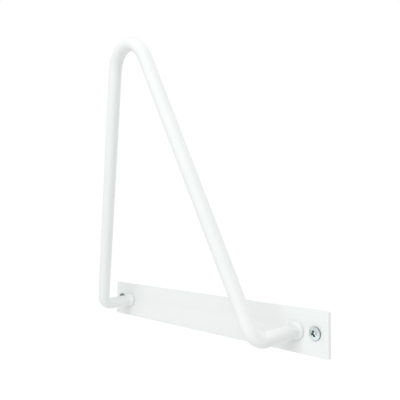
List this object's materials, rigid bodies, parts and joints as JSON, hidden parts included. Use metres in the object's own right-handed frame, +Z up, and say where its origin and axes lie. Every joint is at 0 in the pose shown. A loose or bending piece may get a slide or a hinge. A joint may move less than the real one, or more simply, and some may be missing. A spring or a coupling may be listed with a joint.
{
  "type": "wall shelf bracket",
  "caption": "White wall bracket: a flat plate screwed to the wall carries a round rod bent into a triangle that leans out to support a shelf.",
  "frame": {"origin": "centre of the wall plate's back face, on the wall", "axes": "+X along the plate to the right seen from the room, +Y into the wall, +Z up"},
  "size_m": [0.25, 0.0927, 0.223],
  "materials": {
    "powder_coat": "satin white powder coat",
    "zinc_plate": "bright zinc plate"
  },
  "bodies": {
    "root": {"wall_plate": "powder_coat", "bent_rod": "powder_coat", "weld_bead_left": "powder_coat", "weld_bead_right": "powder_coat", "screw_left": "zinc_plate", "screw_right": "zinc_plate"}
  },
  "joints": []
}
